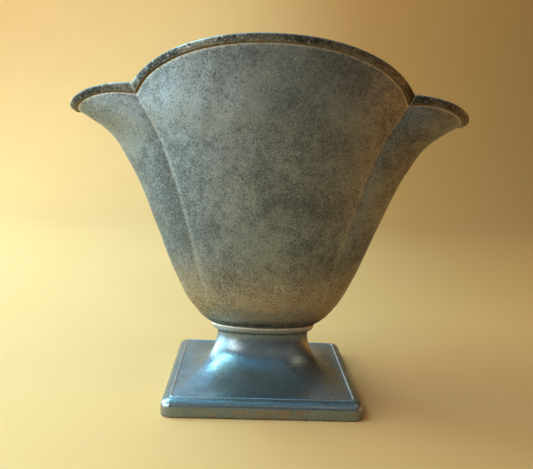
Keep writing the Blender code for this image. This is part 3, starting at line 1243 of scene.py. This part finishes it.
    def marks(self, rings: Array, outer: Array) -> dict[str, Array]:
        """Wear on the panel's shoulder and the plinth's edges, grime beside the step.

        Args:
            rings: All the rings of the casting.
            outer: Those of its outside, from the table up.

        Returns:
            The marks for every point, by name.
        """
        half, top = self.size()
        inset = (half - np.abs(outer[..., :2])).min(axis=-1)
        z = outer[..., 2]
        at_corner = ease_between((np.abs(outer[..., :2]) / half).min(axis=-1), *self.corner_zone)
        crest = self.crest_wear.at(inset - self.panel_inset) * (z > self.border_height - self.soft_edge)
        wear_and_highlight = crest + at_corner * self.corner_wear.at(z)
        beside = self.panel_inset + (self.bead_width + self.groove_width) / 2
        grime_and_shade = self.groove_grime.at(inset - beside)
        grime_and_shade += self.neck_grime * ease_between(top - z, self.grime_reach, 0.0)
        grime_and_shade += self.table_grime * ease_between(z, self.grime_reach, 0.0)
        below = np.zeros((len(rings) - len(outer), rings.shape[1]))
        return {
            "wear_and_highlight": np.concatenate([wear_and_highlight[::-1], below]),
            "grime_and_shade": np.concatenate([grime_and_shade[::-1], below]),
            "inside": np.concatenate([0 * wear_and_highlight, below + 1]),
        }


@dataclass(frozen=True)
class SoftBox:
    """A rectangular area light, placed and aimed in metres."""

    name: str
    place: Point
    aim: Point
    size: Pair
    power: float
    colour: Colour

    def build(self) -> None:
        """Add the light to the scene."""
        data = bpy.data.lights.new(self.name, "AREA")
        data.shape = "RECTANGLE"
        data.size, data.size_y = self.size
        data.energy = self.power
        data.color = self.colour
        turn = (Vector(self.aim) - Vector(self.place)).to_track_quat("-Z", "Y")
        lamp = add_object(self.name, data)
        lamp.matrix_world = Matrix.Translation(self.place) @ turn.to_matrix().to_4x4()


@dataclass(frozen=True)
class Studio:
    """Pale sweep that the vase stands on, soft lights, world and camera."""

    # Floor colour darkens from left to right: painted shade.
    floor_lit_left: Colour = (0.68, 0.36, 0.135)
    floor_shaded_right: Colour = (0.50, 0.21, 0.05)
    floor_shade_turns: Pair = (-0.16, 0.30)
    floor_patch: float = 60.0
    floor_grain: Grain = (2.0, 0.55, 0.0)
    floor_mottle: Pair = (0.3, 0.7)
    floor_share: float = 0.06
    floor_rough: float = 0.85
    half_width: float = 2.6
    front: float = -2.4
    bend: float = 0.55
    bend_radius: float = 0.5
    wall_top: float = 2.2
    bend_steps: int = 24
    eye: Point = (-0.01032, -0.27735, 0.12817)
    yaw: float = 2.12
    pitch: float = 9.79
    roll: float = 2.36
    lens: float = 37.15
    sensor: float = 36.0
    nearest: float = 0.01
    world_light: float = 0.06
    world_tint: Colour = (1.0, 0.74, 0.45)
    world_seen: float = 0.72
    seen_tint: Colour = (1.0, 0.98, 0.95)
    lights: tuple[SoftBox, ...] = (
        SoftBox("window_left", (-0.95, -0.14, 0.31), (0, 0, 0.10), (1.6, 0.70), 16.5, (0.52, 0.83, 1.0)),
        SoftBox("window_low", (-0.80, 0.04, 0.17), (0, 0, 0.10), (1.20, 0.32), 6.5, (0.62, 0.86, 1.0)),
        SoftBox("window_high", (-0.50, 0.09, 0.86), (-0.05, 0, 0.0), (0.80, 0.34), 13.0, (0.46, 0.90, 1.0)),
        SoftBox("sky_above", (-0.30, 0.10, 1.30), (0, 0, 0.0), (1.3, 1.2), 5.2, (0.12, 0.60, 1.0)),
        SoftBox("sky_behind", (-0.45, 0.85, 0.80), (-0.30, 0, 0.5), (1.2, 0.72), 4.0, (0.22, 0.60, 1.0)),
        SoftBox("lamp_right", (0.62, -0.15, 0.95), (0, 0, 0.02), (0.10, 0.10), 0.8, (1.0, 0.76, 0.48)),
        SoftBox("door_front", (-0.48, -0.76, 0.40), (0, 0, 0.10), (0.14, 0.66), 2.6, (1.0, 0.96, 0.90)),
        SoftBox("room_right", (0.35, -0.75, 0.70), (0.05, -0.25, 0.0), (0.7, 0.5), 0.7, (1.0, 0.86, 0.72)),
        SoftBox("warm_right", (0.62, 0.02, 0.07), (0, 0, 0.12), (0.8, 0.13), 0.7, (1.0, 0.34, 0.05)),
        SoftBox("wall_wash", (-1.1, 0.25, 0.7), (-0.35, 1.0, 0.3), (0.6, 0.5), 4.0, (1.0, 0.95, 0.88)),
    )

    def sweep(self) -> None:
        """Floor that bends up into a wall behind the vase.

        Its profile is a straight floor, a quarter round and a straight wall, carried along X.
        Its colour darkens from left to right: painted shade of the light falling off and of the
        shadow in front of the vase.
        """
        quarter = np.linspace(0, math.pi / 2, self.bend_steps)
        y = self.bend + self.bend_radius * np.sin(quarter)
        z = self.bend_radius * (1 - np.cos(quarter))
        y = np.concatenate([[self.front], y, [y[-1]]])
        z = np.concatenate([[0.0], z, [self.wall_top]])
        left = np.column_stack([np.full_like(y, -self.half_width), y, z])
        points = np.concatenate([left, left * [-1, 1, 1]])
        low = np.arange(len(y) - 1)
        faces = np.column_stack([low, low + len(y), low + len(y) + 1, low + 1])
        mesh = bpy.data.meshes.new("studio_floor")
        mesh.from_pydata(points.tolist(), [], faces.tolist())
        mesh.shade_smooth()
        paper = Recipe("pale_paper")
        # Painted shade: the floor darkens from left to right.
        tone = paper.blend(paper.ease(paper.along("X"), *self.floor_shade_turns), self.floor_lit_left, self.floor_shaded_right)
        mottle = paper.noise(self.floor_patch, self.floor_grain)
        mottle = paper.ease(mottle, *self.floor_mottle, self.floor_share)
        tone = paper.blend(mottle, tone, self.floor_shaded_right)
        paper.feed(paper.shader, {"Base Color": tone, "Roughness": self.floor_rough})
        mesh.materials.append(paper.material)
        floor = add_object("studio_floor", mesh)

    def world(self) -> None:
        """Pale world to look at, which gives only a dim even light."""
        world = bpy.data.worlds.new("studio_world")
        world.use_nodes = True
        nodes, links = world.node_tree.nodes, world.node_tree.links
        light, seen = nodes["Background"], nodes.new("ShaderNodeBackground")
        light.inputs["Color"].default_value = (*self.world_tint, 1.0)
        light.inputs["Strength"].default_value = self.world_light
        seen.inputs["Color"].default_value = (*self.seen_tint, 1.0)
        seen.inputs["Strength"].default_value = self.world_seen
        mix = nodes.new("ShaderNodeMixShader")
        links.new(nodes.new("ShaderNodeLightPath").outputs["Is Camera Ray"], mix.inputs["Fac"])
        links.new(light.outputs["Background"], mix.inputs[1])
        links.new(seen.outputs["Background"], mix.inputs[2])
        links.new(mix.outputs["Shader"], nodes["World Output"].inputs["Surface"])
        bpy.context.scene.world = world

    def camera(self) -> None:
        """Camera at the eye, turned by its yaw and pitch and then rolled about its own axis."""
        yaw, pitch, roll = (math.radians(v) for v in (self.yaw, self.pitch, self.roll))
        ahead = Vector((math.sin(yaw), math.cos(yaw), 0.0))
        forward = math.cos(pitch) * ahead - math.sin(pitch) * Vector((0.0, 0.0, 1.0))
        level = Vector((math.cos(yaw), -math.sin(yaw), 0.0))
        upright = level.cross(forward)
        right = math.cos(roll) * level + math.sin(roll) * upright
        up = -math.sin(roll) * level + math.cos(roll) * upright
        data = bpy.data.cameras.new("view")
        data.lens = self.lens
        data.sensor_width = self.sensor
        data.sensor_fit = "HORIZONTAL"
        data.clip_start = self.nearest
        camera = add_object("view", data)
        turn = Matrix((right, up, -forward)).transposed().to_4x4()
        camera.matrix_world = Matrix.Translation(self.eye) @ turn
        bpy.context.scene.camera = camera

    def build(self) -> None:
        """Set up the sweep, the world, the lights and the camera."""
        self.sweep()
        self.world()
        for light in self.lights:
            light.build()
        self.camera()
        bpy.context.scene.view_settings.view_transform = "Standard"


@dataclass
class FanVase:
    """The whole vase: bowl, rim moulding, collar and foot."""

    form: BowlForm = field(default_factory=BowlForm)
    waver: Waver = field(default_factory=Waver)

    def build(self) -> None:
        """Make and dress every casting, with one material for each finish."""
        finishes = (BOWL_FINISH, COLLAR_FINISH, RIM_FINISH, FOOT_FINISH)
        materials = {finish.name: finish.make() for finish in finishes}
        makers = (
            Bowl(self.form, self.waver),
            RimMoulding(self.form, self.waver),
            StemCollar(),
            Foot(),
        )
        for maker in makers:
            for casting in maker.build():
                casting.dress(materials[casting.finish.name])


def write_sizes() -> None:
    """Bring the view layer up to date."""
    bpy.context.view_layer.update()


def main() -> None:
    """Build the vase and its studio, and bring the view layer up to date."""
    logging.basicConfig(level=logging.INFO, format="%(name)s: %(message)s")
    FanVase().build()
    Studio().build()
    write_sizes()


if __name__ == "__main__":
    main()
